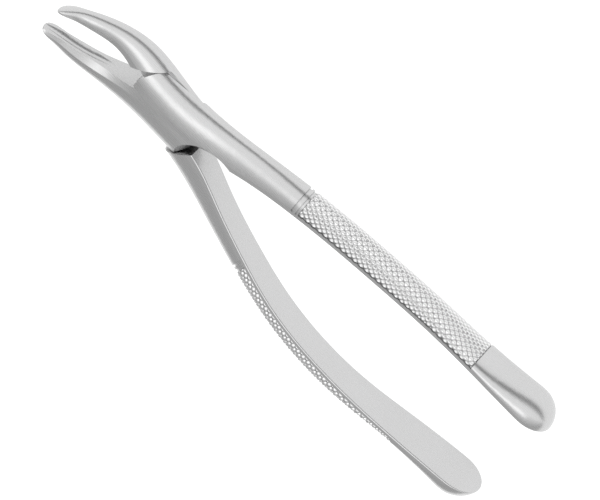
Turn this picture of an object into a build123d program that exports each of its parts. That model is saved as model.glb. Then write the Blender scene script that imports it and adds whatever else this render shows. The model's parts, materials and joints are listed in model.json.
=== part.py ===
"""Dental extraction forceps, American lap-joint pattern with curved universal beaks.

The tool is two forged stainless-steel halves that cross at a lap joint and turn on one shouldered,
slotted pivot screw.  The screw is sunk in the rear face and its thread ends blind in the front half.

Frame: +X runs from the pivot to the beaks, +Z is the pivot axis, and the origin is on that axis at the
level of the flat ground on the rear of the joint, so the tool lies on z = 0 with its beaks curving up.
front_half is the upper half at the joint: its handle is on the -Y side and its beak on the +Y side.
Both halves are cut from one smooth envelope in the closed position, then each is swung open by half of
REST_OPENING.  All sizes are in millimetres and degrees.
"""

from build123d import *
from math import pi, sin, sqrt
import os

# ---------------------------------------------------------------- driving dimensions
REST_OPENING = 9.5  # angle between the closed and the stored position of the two halves
LAP_HEIGHT = 4.9  # from the ground flat on the rear face up to the lap plane
LAP_CLEARANCE = 0.04  # between the two lap faces
BEAK_SIDE_RADIUS = 12.1  # lap disc of each half on the side of the beaks, about the pivot
HANDLE_SIDE_RADIUS = 10.8  # and on the side of the handles
FRONT_SHOULDER_GAP = 0.4  # round shoulders of the front half, over the disc of the rear half
REAR_SHOULDERS = [(12.4, 46.5), (11.0, -147.0)]  # straight shoulders: distance and direction from the pivot
BEVEL_CENTRE = (-18.9, 9.1, 5.3)  # hollow bevel on the disc of the front half, next to the other handle
BEVEL_RADIUS = 12.1

NECK_END = -43.4  # the smooth neck of the handle ends at the first groove
GRIP_END = -108.5  # end of the knurled grip
GRIP_DEPTH = 0.55  # the forging is turned down by this under the knurling and in the grooves
GROOVE_WIDTH = 0.8
BEAD_WIDTH = 0.7  # raised bead between the two grooves
BEAD_DROP = 0.15  # the bead stands this much lower than the neck
SIDE_STRIP = 1.15  # smooth strip left between the inner flat and the knurling
EDGE_RADIUS = 0.35  # along the edges of the inner flats

HANDLE_END, HANDLE_ROUNDING = -135.2, 9.1  # the end of the handle is rounded over this length
BEAK_END, BEAK_ROUNDING = 41.2, 1.3

HOLLOW_START, HOLLOW_END = 20.0, 41.0  # hollow along the inner face of each beak
HOLLOW_RADIUS = 1.8
HOLLOW_DEPTH = 0.75

SCREW_SHANK_RADIUS = 2.25
SCREW_HEAD_RADIUS = 3.4
SCREW_HEAD_HEIGHT = 1.5
SCREW_HEAD_RECESS = 0.1  # the head lies this far under the ground flat
SCREW_TIP = 3.3  # top of the shank over the lap plane, in a blind hole
HEAD_CHAMFER, TIP_CHAMFER = 0.2, 0.4
SLOT_WIDTH, SLOT_DEPTH = 0.9, 0.8
RUNNING_CLEARANCE = 0.04
HEAD_CLEARANCE = 0.15
BLIND_HOLE_END_GAP = 0.4

# Closed envelope of one side, one row per station: x, outer y, middle z over the lap plane, width in z,
# and the y at which the side has its full width.  y is measured from the middle plane of the closed tool.
ENVELOPE = [
    (-125.0, 14.0, 1.9, 13.6, 8.7),
    (-108.5, 13.9, 3.4, 12.4, 11.3),
    (-92.0, 17.3, 5.2, 10.5, 13.5),
    (-76.0, 18.9, 6.2, 9.6, 13.8),
    (-59.0, 18.2, 5.8, 9.4, 12.9),
    (-43.0, 16.0, 4.3, 8.8, 10.2),
    (-28.0, 13.2, 2.7, 8.4, 5.9),
    (-15.0, 10.7, 1.3, 8.9, 2.6),
    (0.0, 9.5, -0.2, 10.2, 1.7),
    (10.0, 9.7, -1.2, 9.6, 2.5),
    (15.0, 9.8, -1.2, 8.7, 3.5),
    (23.5, 9.1, 0.4, 6.6, 4.8),
    (32.0, 6.9, 3.5, 5.3, 3.6),
    (36.0, 5.1, 5.1, 4.7, 2.6),
    (41.0, 1.5, 7.5, 4.2, 1.0),
]
# Width at the middle plane as a share of the full width.
FOOT_SHARE = [(-15.0, 1.0), (0.0, 1.0), (9.0, 1.0), (16.0, 0.85), (22.0, 0.55), (29.0, 0.55), (36.0, 0.7),
              (41.0, 0.8)]
# Inner faces of the closed halves: x and distance from the middle plane.
HANDLE_GAP = [(-136.0, 5.9), (-125.0, 7.4), (-108.5, 9.8), (-92.0, 11.6), (-76.0, 12.1), (-59.0, 11.2),
              (-43.0, 8.4), (-28.0, 4.5), (-17.0, 1.1), (-11.7, 0.2)]
BEAK_GAP = [(11.6, 0.2), (14.0, 1.1), (19.0, 2.2), (24.0, 2.6), (30.0, 2.3), (36.0, 1.4), (42.5, 0.3)]

BIG = 60.0  # larger than the tool in y and z


def cubic(points):
    """Natural cubic spline through (x, value) points in increasing x, as a function of x."""
    xs, ys = [p[0] for p in points], [p[1] for p in points]
    n = len(xs)
    h = [xs[i + 1] - xs[i] for i in range(n - 1)]
    slope = [(ys[i + 1] - ys[i]) / h[i] for i in range(n - 1)]
    second, upper = [0.0] * n, [0.0] * n
    for i in range(1, n - 1):
        pivot = 2 * (h[i - 1] + h[i]) - h[i - 1] * upper[i - 1]
        upper[i] = h[i] / pivot
        second[i] = (6 * (slope[i] - slope[i - 1]) - h[i - 1] * second[i - 1]) / pivot
    for i in range(n - 2, 0, -1):
        second[i] -= upper[i] * second[i + 1]

    def value(x):
        i = max(0, min(n - 2, sum(1 for a in xs if a <= x) - 1))
        a, b = (xs[i + 1] - x) / h[i], (x - xs[i]) / h[i]
        bend = (a**3 - a) * second[i] + (b**3 - b) * second[i + 1]
        return a * ys[i] + b * ys[i + 1] + bend * h[i] ** 2 / 6

    return value


outer_at, middle_at, width_at, widest_at = (
    cubic([(row[0], row[i]) for row in ENVELOPE]) for i in (1, 2, 3, 4)
)
foot_share_at = cubic(FOOT_SHARE)
handle_gap_at = cubic(HANDLE_GAP)
beak_gap_at = cubic(BEAK_GAP)


def end_rounding(x):
    """1 along the tool, falling to 0 in a quarter ellipse at either end."""
    past_handle = (HANDLE_END + HANDLE_ROUNDING - x) / HANDLE_ROUNDING
    past_beak = (x - BEAK_END + BEAK_ROUNDING) / BEAK_ROUNDING
    return sqrt(1 - max(past_handle, past_beak, 0) ** 2)


def section(x, inset=0.0):
    """D-shaped section of one side at x: flat foot past the middle plane, straight flanks, convex back."""
    rounding = end_rounding(x)
    inner = handle_gap_at(x) if x < 0 else beak_gap_at(x)
    back = inner + (outer_at(x) - inner) * rounding - inset
    widest = inner + (widest_at(x) - inner) * rounding if rounding < 1 else widest_at(x)
    half = width_at(x) / 2 * rounding - inset
    foot = half * min(foot_share_at(x), 1.0) if x > FOOT_SHARE[0][0] else half
    plane = Plane(origin=(x, 0, middle_at(x)), x_dir=(0, 1, 0), z_dir=(1, 0, 0))
    with BuildSketch(plane) as sketch:
        with BuildLine():
            Polyline((widest, -half), (0, -foot), (0, foot), (widest, half))
            EllipticalCenterArc((widest, 0), back - widest, half, start_angle=-90, arc_size=180)
        make_face()
    return sketch.sketch


def stations():
    """X positions of the sections: the rows of the envelope and closer ones round both ends."""
    turns = [pi / 2 * share for share in (0.2, 0.4, 0.6, 0.8, 0.95)]
    handle = [HANDLE_END + HANDLE_ROUNDING * (1 - sin(turn)) for turn in reversed(turns)]
    beak = [BEAK_END - BEAK_ROUNDING * (1 - sin(turn)) for turn in turns]
    rows = [row[0] for row in ENVELOPE if row[0] < BEAK_END - BEAK_ROUNDING]
    return handle + rows + beak


def mirrored(shape):
    return mirror(shape, about=Plane.XZ)


def outline_face(points):
    """Face between a smooth curve through the points and its mirror image across the X axis."""
    curve = Spline(*points)
    other = Spline(*[(x, -y) for x, y in points])
    ends = [Line(curve @ i, other @ i) for i in (0, 1)]
    return make_face([curve, other, *ends])


def gap_cutter():
    """Everything between the inner faces of the closed halves, on both sides of the joint."""
    cutter = None
    for points in (HANDLE_GAP, BEAK_GAP):
        face = outline_face(points)
        prism = extrude(Pos(0, 0, -BIG / 2) * face, BIG, dir=(0, 0, 1))
        cutter = prism if cutter is None else cutter + prism
    return cutter


def grip_cutter():
    """Ring-shaped cuts on the +Y side: groove, bead, and the knurled grip with the second groove."""
    bead_start = NECK_END - GROOVE_WIDTH
    bead_end = bead_start - BEAD_WIDTH
    steps = [
        (NECK_END, bead_start, GRIP_DEPTH),
        (bead_start, bead_end, BEAD_DROP),
        (bead_end, GRIP_END, GRIP_DEPTH),
    ]
    strip = outline_face([(x, y + SIDE_STRIP) for x, y in HANDLE_GAP[:-2]])
    inner = extrude(Pos(0, 0, -BIG / 2) * strip, BIG, dir=(0, 0, 1))
    cutters = []
    for start, end, depth in steps:
        count = 2 + round(abs(end - start) / 9)
        xs = [end + (start - end) * i / (count - 1) for i in range(count)]
        core = loft([section(x, depth) for x in xs])
        ring = Pos((start + end) / 2, BIG / 4, 0) * Box(abs(end - start), BIG / 2, BIG)
        cutters.append(ring - core - inner)
    return cutters


def beak_hollow():
    """Scoop along the inner face of the beak on the +Y side, deepest in the middle."""
    circles = []
    for i in range(7):
        x = HOLLOW_START + (HOLLOW_END - HOLLOW_START) * i / 6
        depth = HOLLOW_DEPTH * (0.1 + 0.9 * sin(pi * i / 6))
        centre = beak_gap_at(x) - HOLLOW_RADIUS + depth
        plane = Plane(origin=(x, centre, middle_at(x)), x_dir=(0, 1, 0), z_dir=(1, 0, 0))
        circles.append(plane * Circle(HOLLOW_RADIUS))
    return loft(circles)


def quadrant(x_sign, y_sign):
    """Everything in one quadrant of the plan."""
    reach = 4 * BIG
    return Pos(x_sign * reach / 2, y_sign * reach / 2, 0) * Box(reach, reach, 2 * BIG)


def lap_disc(beak_radius, handle_radius):
    """Disc about the pivot, through both levels of the joint, with its own radius on each side."""
    handle_side = quadrant(-1, 1) + quadrant(-1, -1)
    return (Cylinder(beak_radius, BIG) - handle_side) + (Cylinder(handle_radius, BIG) & handle_side)


def bevel_cutter():
    """Cone that cuts a round hollow bevel at 45 degrees."""
    height = 10.0
    return Pos(*BEVEL_CENTRE) * Cone(BEVEL_RADIUS - height / 2, BEVEL_RADIUS + height / 2, height)


def straight_shoulders():
    """Room for the disc of the other half, ending at a straight shoulder on the beak and on the handle."""
    beak_room, handle_room = (
        Rot(0, 0, direction) * Pos(distance - BIG / 2, 0, 0) * Box(BIG, 2 * BIG, BIG)
        for distance, direction in REAR_SHOULDERS
    )
    return (beak_room & quadrant(1, 1)) + (handle_room & quadrant(-1, -1))


def forged_half(level, recess):
    """A closed half with its handle on the -Y side and its disc above (level 1) or below (-1) the lap plane.

    The recess is the room for the other half's disc, on the other level.
    """
    side = loft([section(x) for x in stations()])
    half = side + mirrored(side)
    others = quadrant(-1, 1) + quadrant(1, -1)
    own_level = Pos(0, 0, level * (BIG + LAP_CLEARANCE) / 2) * Box(8 * BIG, 8 * BIG, BIG)
    half -= others - lap_disc(BEAK_SIDE_RADIUS, HANDLE_SIDE_RADIUS)
    half -= (others + recess) - own_level
    half -= gap_cutter()
    half -= beak_hollow()
    for ring in grip_cutter():
        half -= mirrored(ring)
    return half


def inner_handle_edges(half):
    """The two long edges of the inner flat of the handle on the -Y side."""
    def on_flat(edge):
        middle = edge @ 0.5
        return middle.X < 0 and abs(-middle.Y - handle_gap_at(middle.X)) < 0.1
    return half.edges().filter_by(lambda edge: edge.length > 100 and on_flat(edge))


def pivot_screw():
    """Shouldered screw, slotted head down; its top lies in the blind hole of the front half."""
    head = Pos(0, 0, SCREW_HEAD_RECESS) * extrude(Circle(SCREW_HEAD_RADIUS), SCREW_HEAD_HEIGHT)
    shank = extrude(Circle(SCREW_SHANK_RADIUS), LAP_HEIGHT + SCREW_TIP)
    shank -= Pos(0, 0, SCREW_HEAD_RECESS / 2) * Box(BIG, BIG, SCREW_HEAD_RECESS)
    screw = chamfer(head.edges().group_by(Axis.Z)[0], HEAD_CHAMFER) + shank
    screw = chamfer(screw.edges().group_by(Axis.Z)[-1], TIP_CHAMFER)
    slot = Pos(0, 0, SCREW_HEAD_RECESS + SLOT_DEPTH / 2) * Box(BIG, SLOT_WIDTH, SLOT_DEPTH)
    return screw - slot


def stored(half, opening):
    """A closed half lifted to its place over the table, ground flat underneath and swung open."""
    lifted = Pos(0, 0, LAP_HEIGHT) * half
    lifted -= Pos(0, 0, -BIG / 2) * Box(8 * BIG, 8 * BIG, BIG)
    return Rot(0, 0, opening) * lifted


def front_half():
    recess = lap_disc(BEAK_SIDE_RADIUS + FRONT_SHOULDER_GAP, HANDLE_SIDE_RADIUS + FRONT_SHOULDER_GAP)
    half = forged_half(1, recess)
    half -= bevel_cutter()
    half = fillet(inner_handle_edges(half), EDGE_RADIUS)
    half -= extrude(Circle(SCREW_SHANK_RADIUS), SCREW_TIP + BLIND_HOLE_END_GAP)
    return stored(half, REST_OPENING / 2)


def rear_half():
    half = forged_half(-1, straight_shoulders())
    half = fillet(inner_handle_edges(half), EDGE_RADIUS)
    half -= Cylinder(SCREW_SHANK_RADIUS + RUNNING_CLEARANCE, BIG)
    seat_height = SCREW_HEAD_RECESS + SCREW_HEAD_HEIGHT + RUNNING_CLEARANCE - LAP_HEIGHT
    half -= Pos(0, 0, seat_height) * extrude(Circle(SCREW_HEAD_RADIUS + HEAD_CLEARANCE), -BIG)
    return stored(mirrored(half), -REST_OPENING / 2)


os.makedirs("parts", exist_ok=True)
for build in (front_half, rear_half, pivot_screw):
    export_step(build(), f"parts/{build.__name__}.step")
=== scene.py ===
"""Looks of the dental extraction forceps: satin steel, cut knurling on both grips, studio light.

Everything is in metres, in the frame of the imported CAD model: +X to the beaks, +Z along the pivot, the
tool lying on z = 0.  A grip is worked on in "side" coordinates, in which the half is closed again and its
handle is on the +Y side.
"""

import json
from math import cos, pi, radians, sin

import bmesh
import bpy
from mathutils import Matrix, Vector
from mathutils.bvhtree import BVHTree


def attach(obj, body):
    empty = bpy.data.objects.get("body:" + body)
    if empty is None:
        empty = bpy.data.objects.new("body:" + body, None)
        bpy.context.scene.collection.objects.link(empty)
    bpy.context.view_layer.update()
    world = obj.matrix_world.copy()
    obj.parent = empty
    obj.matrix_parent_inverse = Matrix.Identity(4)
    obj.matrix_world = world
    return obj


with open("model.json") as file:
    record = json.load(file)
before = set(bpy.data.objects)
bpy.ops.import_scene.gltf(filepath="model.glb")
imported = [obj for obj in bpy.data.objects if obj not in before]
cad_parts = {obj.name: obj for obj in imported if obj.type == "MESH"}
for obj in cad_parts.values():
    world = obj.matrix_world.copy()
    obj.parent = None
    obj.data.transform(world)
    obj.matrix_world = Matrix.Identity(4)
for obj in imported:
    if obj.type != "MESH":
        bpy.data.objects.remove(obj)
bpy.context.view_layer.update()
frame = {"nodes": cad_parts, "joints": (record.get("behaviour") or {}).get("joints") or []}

MM = 0.001

# ---------------------------------------------------------------- view
VIEW_ELEVATION = radians(46.9)
VIEW_YAW = radians(-0.7)
VIEW_ROLL = radians(45.23)
VIEW_DISTANCE = 1.42
VIEW_TARGET = (32.94 * MM, -40.78 * MM)  # to the right and up from the origin, in the picture plane
VIEW_WIDTH = 164.9 * MM  # width of the picture at the target
SENSOR_WIDTH = 36.0
CLIP_START = 0.01

# ---------------------------------------------------------------- steel
CLOUD_SCALE = 90.0
CLOUD_DARKEST = 0.95  # tone of the darkest clouds, as a share of the tint
BLUE_CAST = 1.005  # blue in the lightest steel, against its red and green
POLISH_SCALE = (60.0, 2500.0, 2500.0)  # noise drawn out along the tool
POLISH_GLOSS_SPREAD = 0.06  # roughness varies by this on either side
POLISH_BUMP_STRENGTH = 0.015
POLISH_BUMP_DEPTH = 0.02 * MM

# ---------------------------------------------------------------- knurled grips
GRIP_START, GRIP_END = -45.75 * MM, -108.45 * MM
SIDE_STRIP = 1.2 * MM  # smooth strip beside the inner flat
KNURL_PITCH = 2.1 * MM  # from diamond to diamond along the handle
KNURL_WIDTH = 1.6 * MM  # from diamond to diamond across it
KNURL_HEIGHT = 0.48 * MM
KNURL_FULLNESS = 0.7  # below 1 the diamonds are fuller and the grooves between them narrower
KNURL_FLOOR = 0.03 * MM  # bottoms of the grooves over the turned-down steel
KNURL_RUNOUT = 0.25 * MM  # the cut fades out over this at its borders
KNURL_STEP = 0.2 * MM  # mesh size
PAINTED_SHADE_SHARE = 0.6  # painted shade: the steel is painted darker in this lowest share of the knurling, where its grooves lie in shade
SECTION_RAYS = 72  # steps round a section of the grip, from flank to flank
FLAT_LEVEL = 8 * MM  # a level that crosses the inner flat all along the grip
CLEAR_OF_TOOL = 40 * MM  # farther above and below than any part of the tool

CLOSED_ANGLE = radians(frame["joints"][0]["range_deg"][0])

# ---------------------------------------------------------------- studio
FLOOR_REACH = 3.0  # from the middle of the floor to its sides
FLOOR_DROP = 0.05 * MM  # keeps the floor clear of the ground flat under the joint
FLOOR_TONES = (0.35, 0.37)
FLOOR_GRAIN_SCALE = 400.0
FLOOR_GLOW = 0.90
# Walls and ceiling as brightness by direction round the tool's long axis: degrees from the +Y horizon over
# the top to the -Y horizon.
STUDIO = [
    (0, 0.62), (42, 0.58), (66, 0.84), (90, 1.05), (112, 1.30), (140, 1.30),
    (153, 0.62), (166, 0.22), (180, 1.15),
]
# A long soft box overhead: its share round the same axis, and its fading out towards the ends of the tool.
SOFT_BOX = [(70, 0.0), (86, 1.0), (94, 1.0), (108, 0.0)]
SOFT_BOX_LEVEL = 0.95
SOFT_BOX_ENDS = (0.22, 0.60)


# ---------------------------------------------------------------- materials
def new_material(name):
    material = bpy.data.materials.new(name)
    material.use_nodes = True
    nodes = material.node_tree.nodes
    return material, nodes, material.node_tree.links, nodes["Principled BSDF"]


def add_node(nodes, kind, **values):
    """A shader node with its unlinked inputs or properties set by name."""
    node = nodes.new(kind)
    for name, value in values.items():
        socket = node.inputs.get(name.replace("_", " "))
        if socket is not None:
            socket.default_value = value
        else:
            setattr(node, name, value)
    return node


def remap(nodes, links, source, low, high):
    """Maps a 0 to 1 value to a range."""
    node = add_node(nodes, "ShaderNodeMapRange", To_Min=low, To_Max=high)
    links.new(source, node.inputs["Value"])
    return node.outputs["Result"]


def grey(level, blue_cast=1.0):
    return (level, level, level * blue_cast, 1)


def blend(nodes, links, share, first, second):
    """Goes from the first colour to the second with a 0 to 1 value."""
    node = add_node(nodes, "ShaderNodeMix", data_type="RGBA")
    node.inputs["A"].default_value = first
    node.inputs["B"].default_value = second
    links.new(share, node.inputs["Factor"])
    return node.outputs["Result"]


def steel(name, tint, roughness, painted_groove_shade=None):
    """Stainless steel: faint cloudy tone, polishing lines along the tool and uneven gloss.

    With a painted groove shade, the steel is painted darker, down to that share, towards the bottoms of a
    piece's knurling: painted shade in its grooves.
    """
    material, nodes, links, shader = new_material(name)
    shader.inputs["Metallic"].default_value = 1.0
    place = add_node(nodes, "ShaderNodeTexCoord")

    clouds = add_node(nodes, "ShaderNodeTexNoise", Scale=CLOUD_SCALE, Detail=4.0, Roughness=0.55)
    links.new(place.outputs["Object"], clouds.inputs["Vector"])
    color = blend(nodes, links, clouds.outputs["Fac"], grey(tint * CLOUD_DARKEST), grey(tint, BLUE_CAST))
    # painted shade: the base colour is scaled down in the knurl grooves by the height share of each point
    if painted_groove_shade is not None:
        height = add_node(nodes, "ShaderNodeAttribute", attribute_name="knurl_shade_share")
        shade = remap(nodes, links, height.outputs["Fac"], painted_groove_shade, 1.0)
        darker = add_node(nodes, "ShaderNodeVectorMath", operation="SCALE")
        links.new(color, darker.inputs[0])
        links.new(shade, darker.inputs["Scale"])
        color = darker.outputs["Vector"]
    links.new(color, shader.inputs["Base Color"])

    stretch = add_node(nodes, "ShaderNodeMapping")
    stretch.inputs["Scale"].default_value = POLISH_SCALE
    links.new(place.outputs["Object"], stretch.inputs["Vector"])
    lines = add_node(nodes, "ShaderNodeTexNoise", Scale=1.0, Detail=3.0, Roughness=0.6)
    links.new(stretch.outputs["Vector"], lines.inputs["Vector"])
    dullest, glossiest = roughness + POLISH_GLOSS_SPREAD, roughness - POLISH_GLOSS_SPREAD
    gloss = remap(nodes, links, lines.outputs["Fac"], glossiest, dullest)
    links.new(gloss, shader.inputs["Roughness"])
    bump = add_node(nodes, "ShaderNodeBump", Strength=POLISH_BUMP_STRENGTH, Distance=POLISH_BUMP_DEPTH)
    links.new(lines.outputs["Fac"], bump.inputs["Height"])
    links.new(bump.outputs["Normal"], shader.inputs["Normal"])
    return material


def floor_paper():
    """Matt white paper that glows a little, so that it stays white under the tool."""
    material, nodes, links, shader = new_material("floor_paper")
    place = add_node(nodes, "ShaderNodeTexCoord")
    grain = add_node(nodes, "ShaderNodeTexNoise", Scale=FLOOR_GRAIN_SCALE, Detail=3.0)
    links.new(place.outputs["Object"], grain.inputs["Vector"])
    darker, lighter = FLOOR_TONES
    color = blend(nodes, links, grain.outputs["Fac"], grey(darker), grey(lighter))
    links.new(color, shader.inputs["Base Color"])
    shader.inputs["Roughness"].default_value = 0.9
    shader.inputs["Specular IOR Level"].default_value = 0.0
    shader.inputs["Emission Color"].default_value = grey(1.0)
    shader.inputs["Emission Strength"].default_value = FLOOR_GLOW
    return material


def paint(node_object, material):
    for slot in node_object.material_slots:
        slot.material = material


# ---------------------------------------------------------------- knurling
def side_frame(handle_side):
    """Matrix to side coordinates, for the half whose handle is on that side of Y."""
    close = Matrix.Rotation(handle_side * -CLOSED_ANGLE / 2, 4, "Z")
    return Matrix.Diagonal((1, handle_side, 1, 1)) @ close


def surface_tree(node_object, to_side):
    """The surface of a half in side coordinates, to shoot rays at."""
    tree_mesh = bmesh.new()
    tree_mesh.from_mesh(node_object.data)
    tree_mesh.transform(to_side)
    tree = BVHTree.FromBMesh(tree_mesh)
    tree_mesh.free()
    return tree


def grip_section(tree, x):
    """Points round the outside of the grip at x, from flank to flank, at even angles."""
    flat = tree.ray_cast(Vector((x, 0, FLAT_LEVEL)), Vector((0, 1, 0)))[0]
    start_y = flat.y + SIDE_STRIP
    top = tree.ray_cast(Vector((x, start_y, CLEAR_OF_TOOL)), Vector((0, 0, -1)))[0]
    bottom = tree.ray_cast(Vector((x, start_y, -CLEAR_OF_TOOL)), Vector((0, 0, 1)))[0]
    centre = (top + bottom) / 2
    points = []
    for i in range(SECTION_RAYS + 1):
        turn = pi / 2 - pi * i / SECTION_RAYS
        points.append(tree.ray_cast(centre, Vector((0, cos(turn), sin(turn))))[0])
    return points


def along(points):
    """Distance of each point from the first, along the chain."""
    total, lengths = 0.0, [0.0]
    for a, b in zip(points, points[1:]):
        total += (b - a).length
        lengths.append(total)
    return lengths


def resample(points, count):
    """That many points, evenly spaced along the chain."""
    lengths = along(points)
    even, i = [], 0
    for k in range(count):
        target = lengths[-1] * k / (count - 1)
        while i < len(lengths) - 2 and lengths[i + 1] < target:
            i += 1
        even.append(points[i].lerp(points[i + 1], (target - lengths[i]) / (lengths[i + 1] - lengths[i])))
    return even


def grip_grid(tree):
    """Rows of points across the turned-down grip, evenly spaced along it and round it."""
    count = round((GRIP_START - GRIP_END) / KNURL_STEP)
    stations = [GRIP_START + (GRIP_END - GRIP_START) * i / count for i in range(count + 1)]
    sections = [grip_section(tree, x) for x in stations]
    widest = max(along(section)[-1] for section in sections)
    columns = round(widest / KNURL_STEP)
    return [resample(section, columns + 1) for section in sections]


def smooth_step(value):
    value = min(max(value, 0.0), 1.0)
    return value * value * (3 - 2 * value)


def knurl_height(u, w, to_border):
    """Height of the knurling at u along and w across the grip: rounded diamonds between crossed grooves."""
    crossed = cos(pi * (u / KNURL_PITCH + w / KNURL_WIDTH)) * cos(pi * (u / KNURL_PITCH - w / KNURL_WIDTH))
    runout = smooth_step(to_border / KNURL_RUNOUT)
    return KNURL_FLOOR + KNURL_HEIGHT * abs(crossed) ** KNURL_FULLNESS * runout


def knurled(grid):
    """The rows of the grid raised by the knurling, and the height at every point, row after row."""
    last_row, last_column = len(grid) - 1, len(grid[0]) - 1
    rows, heights = [], []
    for i, line in enumerate(grid):
        length = along(line)[-1]
        before, after = grid[max(i - 1, 0)], grid[min(i + 1, last_row)]
        row = []
        for j, point in enumerate(line):
            down = (after[j] - before[j]).normalized()
            across = (line[min(j + 1, last_column)] - line[max(j - 1, 0)]).normalized()
            normal = across.cross(down).normalized()
            u = GRIP_START - point.x
            w = length * (j / last_column - 0.5)
            height = knurl_height(u, w, min(u, point.x - GRIP_END, length / 2 - abs(w)))
            row.append(point + normal * height)
            heights.append(height)
        rows.append(row)
    return rows, heights


def sleeve_mesh(name, rows):
    """Closed mesh through rows of points, with a flat face from flank to flank and one at either end."""
    mesh = bmesh.new()
    verts = [[mesh.verts.new(point) for point in row] for row in rows]
    last = len(rows[0]) - 1
    for above, below in zip(verts, verts[1:]):
        for j in range(last):
            mesh.faces.new((above[j], above[j + 1], below[j + 1], below[j]))
        mesh.faces.new((above[last], above[0], below[0], below[last]))
    mesh.faces.new(verts[0])
    mesh.faces.new(verts[-1])
    bmesh.ops.recalc_face_normals(mesh, faces=mesh.faces)
    data = bpy.data.meshes.new(name)
    mesh.to_mesh(data)
    mesh.free()
    data.shade_smooth()
    return data


def knurled_grip(name, node, handle_side, body, material):
    """Closed sleeve of knurling over the turned-down grip of one half."""
    to_side = side_frame(handle_side)
    from_side = to_side.inverted()
    rows, heights = knurled(grip_grid(surface_tree(frame["nodes"][node], to_side)))
    data = sleeve_mesh(name, [[from_side @ point for point in row] for row in rows])
    # painted shade: how far each point stands out of the shaded groove bottoms, low in the grooves and 1
    # higher up
    shade_shares = [min(height / (KNURL_HEIGHT * PAINTED_SHADE_SHARE), 1.0) for height in heights]
    data.attributes.new("knurl_shade_share", "FLOAT", "POINT").data.foreach_set("value", shade_shares)
    data.materials.append(material)
    piece = bpy.data.objects.new(name, data)
    bpy.context.scene.collection.objects.link(piece)
    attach(piece, body)


# ---------------------------------------------------------------- floor, light and camera
def add_floor():
    mesh = bpy.data.meshes.new("floor")
    signs = [(-1, -1), (1, -1), (1, 1), (-1, 1)]
    corners = [(x * FLOOR_REACH, y * FLOOR_REACH, 0) for x, y in signs]
    mesh.from_pydata(corners, [], [(0, 1, 2, 3)])
    mesh.materials.append(floor_paper())
    floor = bpy.data.objects.new("floor", mesh)
    floor.location.z = -FLOOR_DROP
    bpy.context.scene.collection.objects.link(floor)


def ramp_by_angle(nodes, links, share, levels):
    """Brightness through (degrees, level) points, for an angle given as a share of 180 degrees."""
    ramp = add_node(nodes, "ShaderNodeValToRGB")
    ramp.color_ramp.interpolation = "EASE"
    elements = ramp.color_ramp.elements
    while len(elements) < len(levels):
        elements.new(0.5)
    for element, (angle, level) in zip(elements, levels):
        element.position = angle / 180
        element.color = grey(level)
    links.new(share, ramp.inputs["Fac"])
    return ramp.outputs["Color"]


def add_studio_light():
    """World light: walls and ceiling by direction round the tool, with the soft box added on top."""
    world = bpy.data.worlds.new("studio")
    world.use_nodes = True
    nodes, links = world.node_tree.nodes, world.node_tree.links
    place = add_node(nodes, "ShaderNodeTexCoord")
    parts = add_node(nodes, "ShaderNodeSeparateXYZ")
    links.new(place.outputs["Generated"], parts.inputs["Vector"])

    turn = add_node(nodes, "ShaderNodeMath", operation="ARCTAN2")
    links.new(parts.outputs["Z"], turn.inputs[0])
    links.new(parts.outputs["Y"], turn.inputs[1])
    share = add_node(nodes, "ShaderNodeMath", operation="DIVIDE")
    share.inputs[1].default_value = pi
    links.new(turn.outputs["Value"], share.inputs[0])
    walls = ramp_by_angle(nodes, links, share.outputs["Value"], STUDIO)
    box = ramp_by_angle(nodes, links, share.outputs["Value"], SOFT_BOX)

    endwise = add_node(nodes, "ShaderNodeMath", operation="ABSOLUTE")
    links.new(parts.outputs["X"], endwise.inputs[0])
    fading = add_node(nodes, "ShaderNodeMapRange", interpolation_type="SMOOTHSTEP")
    fading.inputs["From Min"].default_value, fading.inputs["From Max"].default_value = SOFT_BOX_ENDS
    fading.inputs["To Min"].default_value = SOFT_BOX_LEVEL
    fading.inputs["To Max"].default_value = 0.0
    links.new(endwise.outputs["Value"], fading.inputs["Value"])

    boxed = add_node(nodes, "ShaderNodeVectorMath", operation="MULTIPLY_ADD")
    links.new(box, boxed.inputs[0])
    links.new(fading.outputs["Result"], boxed.inputs[1])
    links.new(walls, boxed.inputs[2])
    links.new(boxed.outputs["Vector"], nodes["Background"].inputs["Color"])
    bpy.context.scene.world = world


def add_camera():
    """Camera above the tool on the -Y side, rolled so that the handles point down to the right."""
    data = bpy.data.cameras.new("camera")
    data.sensor_width = SENSOR_WIDTH
    data.lens = SENSOR_WIDTH * VIEW_DISTANCE / VIEW_WIDTH
    data.clip_start = CLIP_START
    camera = bpy.data.objects.new("camera", data)
    bpy.context.scene.collection.objects.link(camera)
    back = Vector((-sin(VIEW_YAW), -cos(VIEW_YAW) * cos(VIEW_ELEVATION), cos(VIEW_YAW) * sin(VIEW_ELEVATION)))
    handles = Vector((-1, 0, 0))
    handles = (handles - back * handles.dot(back)).normalized()
    sideways = back.cross(handles)
    right = handles * cos(VIEW_ROLL) + sideways * sin(VIEW_ROLL)
    up = sideways * cos(VIEW_ROLL) - handles * sin(VIEW_ROLL)
    camera.matrix_world = Matrix((right, up, back)).transposed().to_4x4()
    camera.location = right * VIEW_TARGET[0] + up * VIEW_TARGET[1] + back * VIEW_DISTANCE
    bpy.context.scene.camera = camera


# ---------------------------------------------------------------- the scene
satin_steel = steel("satin_steel", 0.54, 0.27)
# painted highlight: the knurl steel takes a lighter tint than the satin steel, 0.74 against 0.54, to brighten
# the glints on its diamonds
knurl_steel = steel("knurl_steel", 0.74, 0.16, painted_groove_shade=0.40)
screw_steel = steel("screw_steel", 0.50, 0.32)
for node_name in ("front_half", "rear_half"):
    paint(frame["nodes"][node_name], satin_steel)
paint(frame["nodes"]["pivot_screw"], screw_steel)
knurled_grip("front_knurling", "front_half", -1, "front", knurl_steel)
knurled_grip("rear_knurling", "rear_half", 1, "rear", knurl_steel)
add_floor()
add_studio_light()
add_camera()
bpy.context.scene.view_settings.view_transform = "Standard"
